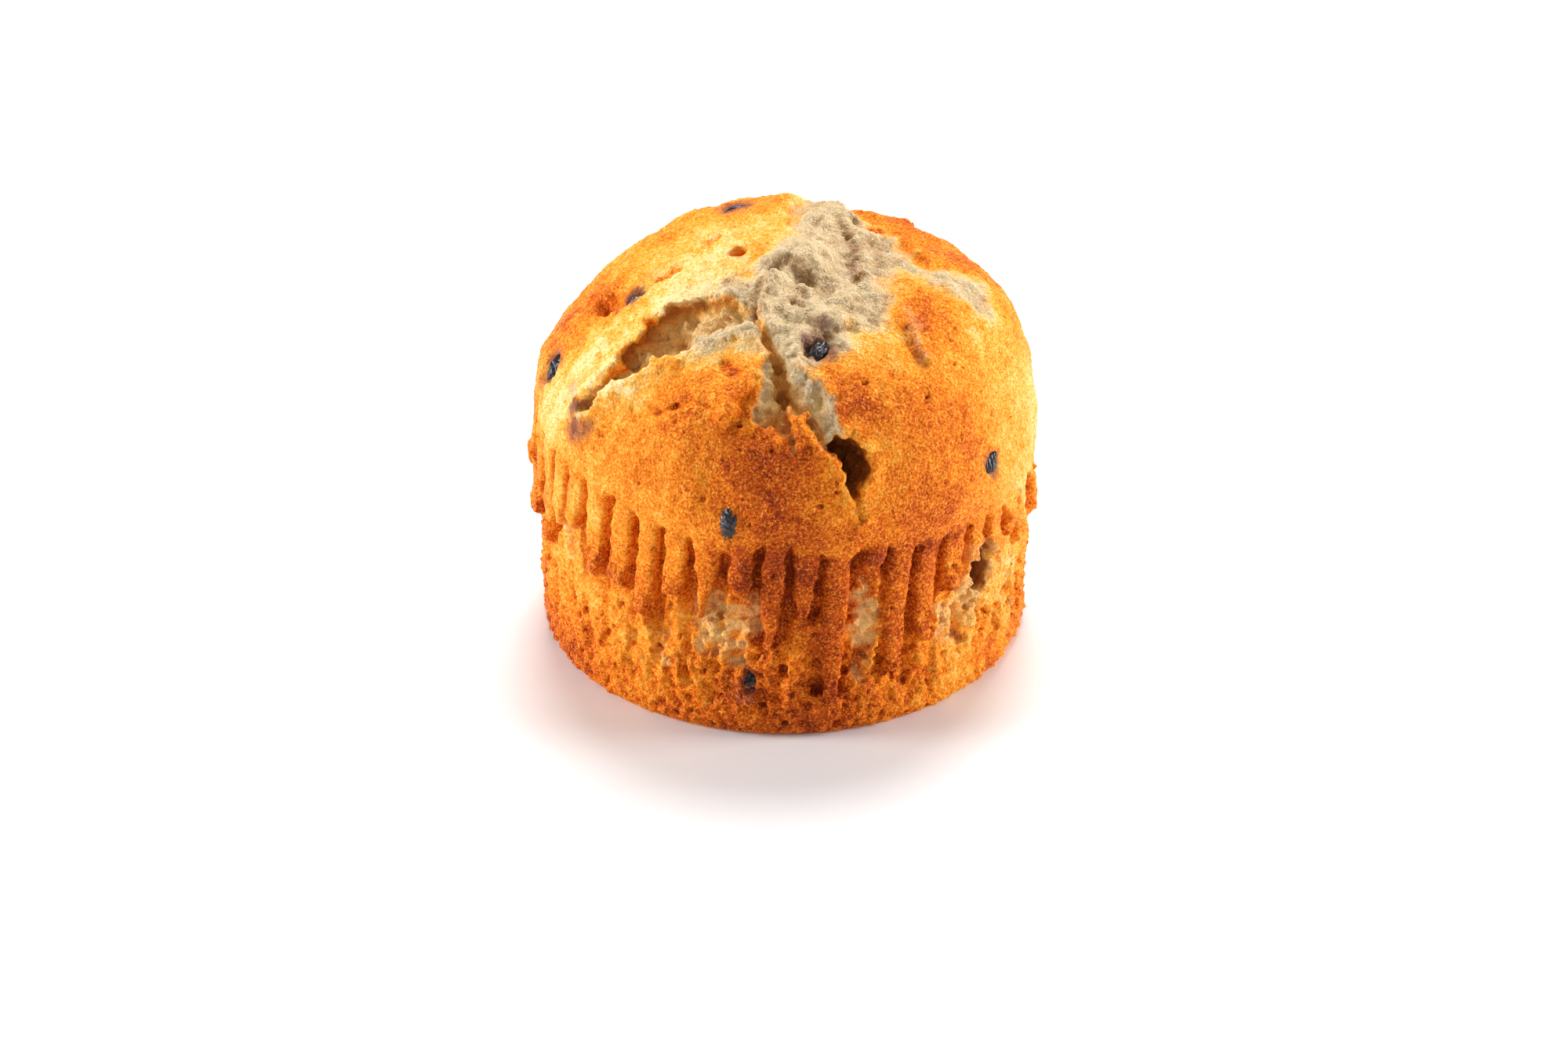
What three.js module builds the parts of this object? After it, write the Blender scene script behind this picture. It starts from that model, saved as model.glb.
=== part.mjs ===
// A large blueberry muffin, baked in a pleated paper case that has been peeled away.
//
// It baked as one piece, so it is one solid: a nearly straight side that keeps the case's
// pleats, and above it a dome that rose free of the case and split open along two tears.
//
// Millimetres, +Z up. The origin is the centre of the flat underside that the muffin rests on.
// The front, down which the longer tear runs, faces -Y. An azimuth is in degrees from the
// front, turning towards +X.
import * as THREE from 'three';

// ---- Driving dimensions -------------------------------------------------------------------

const BASE_DIAMETER = 83; // the underside, out to where its rounded edge meets the side
const RIM_DIAMETER = 84; // the widest place, where the dome leaves the side
const HEIGHT = 69.5; // the underside to the top of the dome, before its swellings
const RIM_HEIGHT = 32; // where the dome starts to close in
const BASE_EDGE_RADIUS = 2.5; // the rounded edge round the underside
const DOME_LEAN = 1.8; // how far the top of the dome sits towards +X

const PLEAT_COUNT = 48;
const PLEAT_DEPTH = 1.5;
const PLEAT_TOP_HEIGHT = 37.5; // the line, over the middle, where the paper case ended
const PLEAT_TOP_TILT = 0.11; // that line drops this much for each millimetre towards +X
const PLEAT_FADE_HEIGHT = 22; // below this the pleats fade away towards the underside
const LIP_SWELL = 0.9; // the dome bulges out this far just above the pleats
const LIP_BAND = 5; // and this far up the side

// Shape of the dome: 2 is an ellipse, and more is squarer.
const DOME_SHOULDER = 2.9;
const DOME_PLAN = 2.3;
const LEAN_POWER = 1.5; // above 1, most of the lean is near the top

// The left tear and then the front one, as [azimuth, share of the way from the rim to the crown],
// from the place where they meet. Width is across the mouth and depth is below the crust.
const TEARS = [
  {
    width: 8,
    depth: 4.5,
    route: [[-10, 0.72], [-24, 0.67], [-35, 0.63], [-46, 0.54], [-53, 0.41], [-58, 0.27]],
  },
  {
    width: 7.5,
    depth: 5,
    route: [[-14, 0.74], [-6, 0.58], [0, 0.45], [9, 0.34], [16, 0.24], [17, 0.1]],
  },
];

// Places where the dome swelled out (or sank, if the height is negative).
const SWELLINGS = [
  { azimuth: -40, share: 0.97, height: 2.2, spread: 11 }, // the crown
  { azimuth: 84, share: 0.52, height: 1.7, spread: 13 }, // right shoulder
  { azimuth: -88, share: 0.62, height: -1.3, spread: 12 }, // left shoulder, a little flat
  { azimuth: 200, share: 0.7, height: 1.2, spread: 14 }, // back of the crown
];

// ---- How finely the surface is faceted ----------------------------------------------------

const SIDES = 2 * PLEAT_COUNT; // one edge in each groove and one on each ridge
const EDGE_STEPS = 2;
const SIDE_STEPS = 12;
const DOME_STEPS = 26;
const ROUTE_STEPS = 24;
const STEP_CROWDING = 1.3; // above 1, the dome's steps are finest at the rim, where the pleats end
const TEAR_START = 0.3; // where a tear starts on its sine taper: 0 would start it from nothing

// ---- The plain muffin, before pleats, swellings and tears ---------------------------------

const degrees = Math.PI / 180;
const baseRadius = BASE_DIAMETER / 2;
const rimRadius = RIM_DIAMETER / 2;
const domeHeight = HEIGHT - RIM_HEIGHT;
const domeFoot = new THREE.Vector3(0, 0, RIM_HEIGHT);

// A point of the dome's outline, as (radius, height): share 0 is the rim and 1 the crown.
function domeOutline(share) {
  const turn = (share * Math.PI) / 2;
  const radius = share < 1 ? rimRadius * Math.cos(turn) ** (2 / DOME_PLAN) : 0;
  const rise = domeHeight * Math.sin(turn) ** (2 / DOME_SHOULDER);
  return new THREE.Vector2(radius, RIM_HEIGHT + rise);
}

// How far the muffin leans towards +X at a height.
function leanAt(height) {
  const share = Math.max(0, height - RIM_HEIGHT) / domeHeight;
  return DOME_LEAN * share ** LEAN_POWER;
}

function domePoint(azimuth, share) {
  const { x: radius, y: height } = domeOutline(share);
  const turn = azimuth * degrees;
  return new THREE.Vector3(
    radius * Math.sin(turn) + leanAt(height),
    -radius * Math.cos(turn),
    height,
  );
}

function muffinOutline() {
  const outline = [new THREE.Vector2(0, 0)];
  for (let step = 0; step <= EDGE_STEPS; step++) {
    const turn = (step / EDGE_STEPS) * 90 * degrees;
    outline.push(new THREE.Vector2(
      baseRadius - BASE_EDGE_RADIUS * (1 - Math.sin(turn)),
      BASE_EDGE_RADIUS * (1 - Math.cos(turn)),
    ));
  }
  for (let step = 1; step <= SIDE_STEPS; step++) {
    const share = step / SIDE_STEPS;
    outline.push(new THREE.Vector2(
      THREE.MathUtils.lerp(baseRadius, rimRadius, share),
      THREE.MathUtils.lerp(BASE_EDGE_RADIUS, RIM_HEIGHT, share),
    ));
  }
  for (let step = 1; step <= DOME_STEPS; step++) {
    outline.push(domeOutline((step / DOME_STEPS) ** STEP_CROWDING));
  }
  return outline;
}

// ---- What the case, the rise and the tears did to it --------------------------------------

const bell = (distance, spread) => Math.exp(-((distance / spread) ** 2));

const pleatTopAt = (x) => PLEAT_TOP_HEIGHT - PLEAT_TOP_TILT * x;

// How far a pleat presses in: all of it in a groove under the case's edge, nothing on a ridge.
function pleatInset(point) {
  const azimuth = Math.atan2(point.x, -point.y);
  const groove = (1 + Math.cos(PLEAT_COUNT * azimuth)) / 2;
  const kept = THREE.MathUtils.smoothstep(point.z, BASE_EDGE_RADIUS, PLEAT_FADE_HEIGHT);
  return point.z < pleatTopAt(point.x) ? PLEAT_DEPTH * groove * kept : 0;
}

const lipSwell = (point) => LIP_SWELL * bell(point.z - pleatTopAt(point.x) - LIP_BAND, LIP_BAND);

const swellings = SWELLINGS.map(({ azimuth, share, height, spread }) => (point) =>
  height * bell(point.distanceTo(domePoint(azimuth, share)), spread));

// A tear is deepest along its route, and its far end runs out to nothing.
function tear({ width, depth, route }) {
  const curve = new THREE.CatmullRomCurve3(route.map(([azimuth, share]) => domePoint(azimuth, share)));
  const line = curve.getSpacedPoints(ROUTE_STEPS);
  return (point) => {
    let deepest = 0;
    line.forEach((place, step) => {
      const taper = Math.sin(Math.PI * THREE.MathUtils.lerp(TEAR_START, 1, step / ROUTE_STEPS));
      const across = point.distanceTo(place) / (width / 2);
      deepest = Math.max(deepest, depth * taper * Math.max(0, 1 - across ** 2));
    });
    return deepest;
  };
}

const tears = TEARS.map(tear);

// The way that the surface moves at a point: straight out from the axis on the side, and out
// from the middle of the rim on the dome.
function outwardAt(point) {
  const middle = domeFoot.clone().setZ(Math.min(point.z, RIM_HEIGHT));
  return point.clone().sub(middle).normalize();
}

function shaped(point) {
  if (point.z < BASE_EDGE_RADIUS / 2) return point;
  const outward = outwardAt(point);
  const leaning = point.clone().setX(point.x + leanAt(point.z));
  let move = lipSwell(leaning) - pleatInset(point);
  swellings.forEach((swelling) => { move += swelling(leaning); });
  tears.forEach((tearAt) => { move -= tearAt(leaning); });
  return leaning.addScaledVector(outward, move);
}

function muffinGeometry() {
  const geometry = new THREE.LatheGeometry(muffinOutline(), SIDES);
  geometry.rotateX(90 * degrees); // the lathe turns about Y
  const places = geometry.getAttribute('position');
  const point = new THREE.Vector3();
  for (let i = 0; i < places.count; i++) {
    places.setXYZ(i, ...shaped(point.fromBufferAttribute(places, i)).toArray());
  }
  geometry.computeVertexNormals();
  return geometry;
}

// ---- The part -----------------------------------------------------------------------------

function muffin() {
  const crust = new THREE.MeshStandardMaterial({ color: 0xc9762b, roughness: 0.7, metalness: 0 });
  const mesh = new THREE.Mesh(muffinGeometry(), crust);
  mesh.name = 'muffin';
  return mesh;
}

const part = new THREE.Group();
part.add(muffin());

export default part;
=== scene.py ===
# %% [markdown]
# # A blueberry muffin
# A muffin is one baked piece, so its looks are one mesh, sculpted in code: a dome that split open
# as it rose, and a side that kept the pleats of the paper case. Beside it there are only the
# berries, which are pieces of their own because their skin is so unlike the crumb. The imported CAD
# model is loaded first. It gives the frame that every piece stands in.

import math

import bmesh
import bpy
import numpy as np
from mathutils import Matrix, Vector, kdtree, noise


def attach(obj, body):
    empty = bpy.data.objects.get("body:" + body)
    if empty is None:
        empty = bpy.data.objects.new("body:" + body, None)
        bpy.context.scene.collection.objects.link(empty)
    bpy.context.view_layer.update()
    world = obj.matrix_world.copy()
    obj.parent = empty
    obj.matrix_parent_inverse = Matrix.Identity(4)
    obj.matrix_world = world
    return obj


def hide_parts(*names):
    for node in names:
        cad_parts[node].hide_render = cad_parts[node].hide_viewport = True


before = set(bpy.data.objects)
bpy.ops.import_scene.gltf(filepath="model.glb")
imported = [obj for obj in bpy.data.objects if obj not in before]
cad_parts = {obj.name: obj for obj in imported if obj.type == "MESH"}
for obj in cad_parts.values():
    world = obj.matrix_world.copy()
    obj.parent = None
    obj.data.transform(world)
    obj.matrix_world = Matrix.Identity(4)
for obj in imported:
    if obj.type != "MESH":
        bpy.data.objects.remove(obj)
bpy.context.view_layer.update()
MM = 0.001  # the sculpting is worked out in millimetres, and finished pieces are in metres

# %% [markdown]
# ## Camera
# A small thing on a plate is usually looked down on. A long lens from 0.8 m keeps the sides of the
# muffin nearly upright, and the camera is tipped down by the same angle that it stands above it.

# %% Camera
CAMERA_ELEVATION = math.radians(32.0)
CAMERA_DISTANCE = 800 * MM
LENS_LENGTH = 107.3
SENSOR_WIDTH = 36.0
AIM = Vector((0, 0, 16.5 * MM))

camera = bpy.data.objects.new("camera", bpy.data.cameras.new("camera"))
camera.data.lens = LENS_LENGTH
camera.data.sensor_width = SENSOR_WIDTH
back_off = Vector((0, -math.cos(CAMERA_ELEVATION), math.sin(CAMERA_ELEVATION)))
camera.location = AIM + back_off * CAMERA_DISTANCE
camera.rotation_euler = (math.pi / 2 - CAMERA_ELEVATION, 0, 0)
bpy.context.scene.collection.objects.link(camera)
bpy.context.scene.camera = camera
print("camera at, mm:", [round(c / MM) for c in camera.location])

# %% [markdown]
# ## Light and floor
# Baked crust glows when light grazes it from behind, so the strongest softbox stands over the back,
# with one more at each side. The front gets only a weak fill, which leaves it a deeper brown.
# The floor is one large pale sheet.

# %% Light and floor
SKY_STRENGTH = 0.26
FLOOR_SIZE = 6.0
FLOOR_COLOUR = (0.9, 0.9, 0.9, 1.0)


def softbox(name, place, size, power):
    light = bpy.data.lights.new(name, "AREA")
    light.shape = "DISK"
    light.size = size
    light.energy = power
    lamp = bpy.data.objects.new(name, light)
    lamp.location = place
    lamp.rotation_euler = (AIM - Vector(place)).to_track_quat("-Z", "Y").to_euler()
    bpy.context.scene.collection.objects.link(lamp)


softbox("light_over_back", (0.05, 0.40, 0.75), size=0.5, power=8.0)
softbox("light_left", (-0.76, -0.08, 0.22), size=0.3, power=6.0)
softbox("light_right", (0.76, -0.05, 0.22), size=0.3, power=5.6)
softbox("light_front", (-0.1, -0.9, 0.7), size=0.4, power=1.1)

world = bpy.data.worlds.new("studio")
world.use_nodes = True
sky = world.node_tree.nodes["Background"]
sky.inputs["Color"].default_value = (1.0, 1.0, 1.0, 1.0)
sky.inputs["Strength"].default_value = SKY_STRENGTH
bpy.context.scene.world = world
bpy.context.scene.view_settings.view_transform = "Standard"

floor_form = bmesh.new()
bmesh.ops.create_grid(floor_form, x_segments=1, y_segments=1, size=FLOOR_SIZE / 2)
floor_mesh = bpy.data.meshes.new("floor")
floor_form.to_mesh(floor_mesh)
floor_form.free()
floor = bpy.data.objects.new("floor", floor_mesh)
bpy.context.scene.collection.objects.link(floor)
pale = bpy.data.materials.new("pale_floor")
pale.use_nodes = True
pale_shader = pale.node_tree.nodes["Principled BSDF"]
pale_shader.inputs["Base Color"].default_value = FLOOR_COLOUR
pale_shader.inputs["Roughness"].default_value = 0.6
floor_mesh.materials.append(pale)
print("floor", FLOOR_SIZE, "m across")

# %% [markdown]
# ## The plain form
# Before it is sculpted, the muffin is a round solid with a nearly straight side and a full dome.
# The dome's outline is a superellipse, which swells at the shoulder more than a circle does. Its
# length along the surface is tabled too, because the sculpting measures along the crust.

# %% The outline of the plain form
RIM_RADIUS = 42.0
BASE_RADIUS = 41.5
HEIGHT = 69.5
RIM_HEIGHT = 32.0
BASE_EDGE = 2.5
DOME_SHOULDER = 2.9
DOME_PLAN = 2.3
DOME_LEAN = 1.8  # how far the top sits to the right
LEAN_POWER = 1.5  # above 1, most of the lean is near the top

turns = np.linspace(0, math.pi / 2, 1000)
dome_radius = RIM_RADIUS * np.sin(turns) ** (2 / DOME_PLAN)
dome_height = RIM_HEIGHT + (HEIGHT - RIM_HEIGHT) * np.cos(turns) ** (2 / DOME_SHOULDER)
steps = np.hypot(np.diff(dome_radius), np.diff(dome_height))
dome_away = np.concatenate([[0.0], np.cumsum(steps)])  # along the crust, from the crown
DOME_LENGTH = dome_away[-1]
print("crown to rim along the crust:", round(DOME_LENGTH, 1), "mm")

# %% [markdown]
# ## The blank
# The outline is spun round a full turn, as a potter would throw it. A spin makes long thin faces
# at the crown, so a voxel remesh then covers the form with small even faces, about half a
# millimetre across: that is clay enough for cracks, pleats and crumbs.

# %% Spin and remesh the blank
def mesh_of(form, name):
    bmesh.ops.remove_doubles(form, verts=form.verts, dist=0.001)
    bmesh.ops.recalc_face_normals(form, faces=form.faces)
    mesh = bpy.data.meshes.new(name)
    form.to_mesh(mesh)
    form.free()
    return mesh


def with_modifier(mesh, kind, **settings):
    """The mesh as one modifier leaves it."""
    holder = bpy.data.objects.new("holder", mesh)
    bpy.context.scene.collection.objects.link(holder)
    modifier = holder.modifiers.new(kind, kind)
    for name, value in settings.items():
        setattr(modifier, name, value)
    graph = bpy.context.evaluated_depsgraph_get()
    result = bpy.data.meshes.new_from_object(holder.evaluated_get(graph))
    bpy.data.objects.remove(holder)
    return result


def vectors_of(mesh, name):
    """One vector for each vertex: its place, co, or its normal."""
    flat_list = np.zeros(len(mesh.vertices) * 3)
    mesh.vertices.foreach_get(name, flat_list)
    return flat_list.reshape(-1, 3)


def set_points(mesh, points):
    mesh.vertices.foreach_set("co", points.ravel())
    mesh.update()


BLANK_VOXEL = 0.42
TABLE_STEP = 25  # the dome's table is finer than the spin needs
SPIN_STEPS = 240

outline = [(0.0, HEIGHT)]
outline += zip(dome_radius[TABLE_STEP::TABLE_STEP], dome_height[TABLE_STEP::TABLE_STEP])
outline += [(RIM_RADIUS, RIM_HEIGHT)]
for turn in np.linspace(0, math.pi / 2, 4):
    edge_in = BASE_EDGE * (1 - math.cos(turn))
    outline.append((BASE_RADIUS - edge_in, BASE_EDGE * (1 - math.sin(turn))))
outline.append((0.0, 0.0))

form = bmesh.new()
rim = [form.verts.new((radius, 0, height)) for radius, height in outline]
line = [form.edges.new(pair) for pair in zip(rim, rim[1:])]
bmesh.ops.spin(form, geom=rim + line, cent=(0, 0, 0), axis=(0, 0, 1), angle=math.tau,
               steps=SPIN_STEPS, use_merge=True)
blank = with_modifier(mesh_of(form, "blank"), "REMESH", mode="VOXEL", voxel_size=BLANK_VOXEL)
plain = vectors_of(blank, "co")
print("blank:", len(plain), "points")

# %% [markdown]
# ## Laying the crust flat
# Cracks and stains are easiest to place on a map. Peel the crust off in the mind and lay it flat,
# crown in the middle, front towards you: a place is then two distances in millimetres, to the right
# and to the back. Each point of the blank gets its place on that map, and the three directions in
# which sculpting can push it there: out of the crust, away from the crown, and around.

# %% The map and its directions
dome_slope = np.arctan2(dome_height - RIM_HEIGHT, dome_radius)
radius_step = np.gradient(dome_radius, dome_away)
height_step = np.gradient(dome_height, dome_away)

on_dome = plain[:, 2] > RIM_HEIGHT
turn = np.arctan2(plain[:, 0], -plain[:, 1])
slope = np.arctan2(plain[:, 2] - RIM_HEIGHT, np.hypot(plain[:, 0], plain[:, 1]))
away = np.interp(-slope, -dome_slope, dome_away)
away = np.where(on_dome, away, DOME_LENGTH + RIM_HEIGHT - plain[:, 2])
azimuth = np.degrees(turn)  # from the front, turning to the right
height = plain[:, 2]
spot = np.column_stack([away * np.sin(turn), -away * np.cos(turn)])

sideways = np.interp(away, dome_away, radius_step)
upwards = np.interp(away, dome_away, height_step)
ray = np.column_stack([np.sin(turn), -np.cos(turn), np.zeros(len(turn))])
up = np.array([0.0, 0.0, 1.0])
outward = -upwards[:, None] * ray + sideways[:, None] * up
downhill = sideways[:, None] * ray + upwards[:, None] * up
around = np.column_stack([np.cos(turn), np.sin(turn), np.zeros(len(turn))])


def map_place(azimuth, away):
    """The place on the map at an azimuth in degrees and a distance from the crown."""
    turn = math.radians(azimuth)
    return away * math.sin(turn), -away * math.cos(turn)


def on_side(azimuth, height):
    """The same for a place on the side, given by its height."""
    return map_place(azimuth, DOME_LENGTH + RIM_HEIGHT - height)


print("map reaches", round(away.max(), 1), "mm from the crown")

# %% [markdown]
# ## Sculpting tools
# A few small tools do all the shaping. `ripple` is smooth noise with lumps of a chosen size, and
# `grains` are packed and round. `ease` is a soft step, and `bell` fades with distance. `near`
# measures to a line drawn on the map, `far_from` to a place, and `oval` to a place in units of an
# oval round it. `within` finds what is inside an outline. Dough tears raggedly, so `ragged` shakes
# the map a little before anything is measured on it.

# %% Sculpting tools
PATTERN_GAP = 7.3  # two patterns of noise are read this far apart


def ripple(points, size, pattern=0, octaves=3):
    moved = points / size + pattern * PATTERN_GAP
    return np.array([noise.fractal(p, 1.0, 2.0, octaves) for p in moved.tolist()])


def grains(points, size, pattern):
    """Packed round grains: 0.5 on the top of a grain and less in the gaps between them."""
    moved = points / size + pattern * PATTERN_GAP
    return 0.5 - np.array([noise.voronoi(p)[0][0] for p in moved.tolist()])


def ease(low, high, value):
    share = np.clip((value - low) / (high - low), 0, 1)
    return share * share * (3 - 2 * share)


def bell(distance, spread):
    return np.exp(-((distance / spread) ** 2))


def far_from(places, place):
    return np.hypot(*(places - place).T)


def oval(places, place, half_length, half_breadth, turn_degrees):
    """1 on the edge of a turned oval, and less inside it."""
    turn = math.radians(turn_degrees)
    gap = places - place
    lengthways = gap[:, 0] * math.cos(turn) + gap[:, 1] * math.sin(turn)
    crossways = gap[:, 1] * math.cos(turn) - gap[:, 0] * math.sin(turn)
    return np.hypot(lengthways / half_length, crossways / half_breadth)


def near(places, line):
    """Distance to a line on the map, how far along it that is (0 to 1), the way there, and the
    side of the line: above 0 to the left of someone who walks along it."""
    line = np.array(line, float)
    lengths = np.linalg.norm(np.diff(line, axis=0), axis=1)
    starts = np.concatenate([[0], np.cumsum(lengths)])
    distance = np.full(len(places), np.inf)
    along = np.zeros(len(places))
    way = np.zeros((len(places), 2))
    side = np.zeros(len(places))
    for start, end, length, before in zip(line, line[1:], lengths, starts):
        share = np.clip((places - start) @ (end - start) / length**2, 0, 1)
        gap = start + share[:, None] * (end - start) - places
        far = np.linalg.norm(gap, axis=1)
        closer = far < distance
        left = np.array([start[1] - end[1], end[0] - start[0]]) / length
        distance[closer] = far[closer]
        along[closer] = (before + share[closer] * length) / starts[-1]
        way[closer] = gap[closer] / np.maximum(far[closer], 1e-6)[:, None]
        side[closer] = -(gap @ left)[closer]
    return distance, along, way, side


def within(places, outline):
    inside = np.zeros(len(places), bool)
    x, y = places.T
    for (x1, y1), (x2, y2) in zip(outline, outline[1:] + outline[:1]):
        if y1 == y2:
            continue
        crosses = (y1 > y) != (y2 > y)
        inside ^= crosses & (x < (x2 - x1) * (y - y1) / (y2 - y1) + x1)
    return inside


def depth_inside(places, outline):
    """Distance in from the outline: above 0 inside it and below 0 outside."""
    distance, _, _, _ = near(places, outline + outline[:1])
    return np.where(within(places, outline), distance, -distance)


def ragged(coarse, fine, pattern):
    """Each point's place on the map, shaken by large and by small noise."""
    shakes = [coarse * ripple(plain, 4.5, number) + 1.5 * fine * ripple(plain, 1.7, number + 1)
              for number in (pattern, pattern + 2)]
    return spot + np.column_stack(shakes)


push_out = np.zeros(len(plain))  # how far each point moves out of the crust
push_along = np.zeros((len(plain), 2))  # and how far it moves along the map

# %% [markdown]
# ## How the dome rose
# A muffin never rises evenly. The crown sits a little to the left of the middle, the right shoulder
# bulged and the left one stayed flat. The first four swellings are in the CAD model too, and the
# others are smaller. Ripples are added to them, because a smooth dome looks like plastic.

# %% Swellings
SWELLINGS = [  # azimuth, distance from the crown, height, spread
    (-40, 3, 2.2, 11),
    (84, 35, 2.2, 12),
    (-88, 29, -1.3, 12),
    (200, 23, 1.2, 14),
    (166, 24, -1.5, 6),
    (62, 26, 0.8, 7),
    (-25, 42, 0.8, 9),
    (28, 42, 0.7, 10),
]

for swell_azimuth, swell_away, swell_height, spread in SWELLINGS:
    middle = map_place(swell_azimuth, swell_away)
    push_out += swell_height * bell(far_from(spot, middle), spread)

above_base = ease(0.5, 6.0, height)
bumpy = 0.35 + 0.9 * bell(far_from(spot, (-16, 0)), 26)
push_out += above_base * (0.55 * ripple(plain, 17, 1, 2) + 0.6 * bumpy * ripple(plain, 4.5, 2, 3))
print("swollen by", round(push_out.min(), 2), "to", round(push_out.max(), 2), "mm")

# %% [markdown]
# ## Pleats
# The case had 48 pleats, and the batter filled each fold, so the side carries 48 ridges with a
# narrow groove between every two. The ridges are crisp just under the dome. Where the paper pulled
# the crust away they stop short, some square and some in a drawn-out point. The ends at the front
# are listed and the others are drawn at random.

# %% Pleats
PLEAT_COUNT = 48
PLEAT_PITCH = 360 / PLEAT_COUNT
GROOVE_DEPTH = 2.2
PLEAT_TOP = 37.5
PLEAT_TOP_TILT = 0.11  # the tops drop this much for each millimetre to the right
FIRST_GROOVE = 1.45  # degrees from the front
RIDGE_HALF_WIDTH = 0.40  # as a share of the pitch
LIP_SWELL = 0.9
LIP_BAND = 4.5
# The ridges at the front, from left to right: the height of the end, and how pointed it is.
FRONT_ENDS = [30, 31, 25.5, 25, 20, 25, 22.5, 29, 17, 24, 9, 33, 11, 17, 24, 26, 25]
FRONT_POINTS = [0.2, 0.2, 0.2, 0.2, 0.4, 0.3, 1.0, 0.1, 1.0, 0.6, 0.5, 0.1, 0.5, 0.4, 0.3, 0.1, 0.2]

draws = np.random.default_rng(4)
ridge_end = draws.uniform(15, 29, PLEAT_COUNT)
ridge_point = draws.uniform(0.0, 1.0, PLEAT_COUNT) ** 1.5
front = (np.arange(len(FRONT_ENDS)) - len(FRONT_ENDS) // 2 - 1) % PLEAT_COUNT
ridge_end[front] = FRONT_ENDS
ridge_point[front] = FRONT_POINTS

wander = 1.1 * ripple(plain * (1, 1, 0.3), 12, 3, 2) + 0.5 * ripple(plain, 2.0, 4, 2)
fold = (azimuth - FIRST_GROOVE + wander + 0.08 * (PLEAT_TOP - height)) / PLEAT_PITCH
fold_number = np.floor(fold).astype(int) % PLEAT_COUNT
across = fold - np.floor(fold) - 0.5  # -0.5 and 0.5 are in the grooves
top_step = draws.normal(0, 0.8, PLEAT_COUNT)[fold_number]
pleat_top = PLEAT_TOP - PLEAT_TOP_TILT * plain[:, 0] + top_step + 0.4 * ripple(plain, 1.8, 7)
end_here = ridge_end[fold_number] + 2.6 * ripple(plain, 2.2, 5, 3)
above_end = height - end_here
sharp_end = ridge_point[fold_number]
taper = np.clip(above_end / (2.5 + 9 * sharp_end), 0, 1)
half_width = RIDGE_HALF_WIDTH * (1 - 0.95 * sharp_end * (1 - taper**0.8))
ridge = ease(half_width + 0.08, half_width - 0.08, np.abs(across + 0.03))
ridge_reach = ease(-3.0 + 2.4 * sharp_end, 1.0, above_end)
under_top = ease(0.0, 1.6, pleat_top + 1.5 * (0.5 - np.abs(across)) - height)

streaks = ripple(plain * (1, 1, 0.22), 2.6, 9, 3)  # drawn out along the pleats
clumps = ripple(plain, 2.6, 10, 3)
fade_down = ease(1.5, 9.0, height)
valley = ease(0.28, 0.5, np.abs(across)) * ease(-0.6, 0.2, ripple(plain * (1, 1, 0.3), 6, 6))
low_level = fade_down * (0.45 - 0.9 * streaks - 0.6 * clumps + 1.5 * valley * ease(4, 16, height))
push_out -= under_top * above_base * (1 - ridge) * ridge_reach * GROOVE_DEPTH
push_out -= under_top * above_base * (1 - ridge_reach) * low_level
knob = bell(above_end - 1.6, 1.9) * ridge
push_out += under_top * (0.9 * knob + 0.45 * ridge * ridge_reach * (1 - (2.2 * across) ** 2))
ridge = ridge * ridge_reach
lip = bell(height - pleat_top - LIP_BAND, LIP_BAND) * on_dome
push_out += LIP_SWELL * lip
print("ridges end between", round(ridge_end.min(), 1), "and", round(ridge_end.max(), 1), "mm")

# %% [markdown]
# ## Where the paper tore the side
# Paper that sticks takes crust with it. It leaves shallow patches of bare crumb, paler and rougher
# than the side around them. Each patch is a soft spot on the map with a shaken edge.

# %% Peeled patches
PEELED = [  # azimuth, height, half width, half height, depth
    (-17.5, 22, 3.0, 5.5, 1.2),
    (-12, 18, 3.0, 6.5, 1.0),
    (-7, 25, 2.2, 4.0, 0.9),
    (18.5, 21, 2.4, 9.0, 1.2),
    (42, 16, 2.0, 5.0, 0.5),
    (48, 20, 2.8, 4.5, 0.8),
    (-60, 29, 5.0, 3.5, 0.8),
    (-29, 13, 1.5, 3.0, 0.4),
    (57, 25, 2.5, 3.5, 0.6),
    (95, 22, 3.5, 6.0, 0.8),
    (128, 18, 3.0, 7.0, 0.9),
    (160, 24, 3.5, 5.0, 0.7),
    (196, 17, 3.5, 7.0, 0.9),
    (231, 23, 3.5, 6.0, 0.8),
    (262, 16, 3.0, 6.0, 0.7),
]

peeled = np.zeros(len(plain))
peel_depth = np.zeros(len(plain))
shaken_turn = azimuth + 3.2 * ripple(plain, 3.2, 8)
shaken_height = height + 3.0 * ripple(plain, 3.2, 9)
for patch_azimuth, patch_height, half_width_mm, half_height_mm, patch_depth in PEELED:
    gap = (shaken_turn - patch_azimuth + 180) % 360 - 180
    gap_mm = np.radians(gap) * RIM_RADIUS
    reach = np.hypot(gap_mm / half_width_mm, (shaken_height - patch_height) / half_height_mm)
    patch = 1 - ease(0.75, 1.15, reach)
    peeled = np.maximum(peeled, patch)
    peel_depth = np.maximum(peel_depth, patch_depth * patch)
peeled *= under_top * (1 - ridge) * ease(-0.45, 0.1, ripple(plain, 2.2, 15, 3))
push_out -= peel_depth * under_top * (1 - ridge)
print("peeled:", round(100 * peeled.mean(), 1), "% of the surface")

# %% [markdown]
# ## The two tears
# The crust set before the middle stopped rising, so it split. Each tear is drawn on the map as its
# two lips. The left one is a step: its upper lip hangs over a pale wall that slopes down to the
# lower lip. The front one is a cleft that opens into a deep hole, with a tongue of crust left
# standing in it. A wall is shaped by how far a point is on its way from one lip to the other. Slits
# are thin cracks where crumb parted further, and the cavity to the left is where a berry burst.

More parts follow.
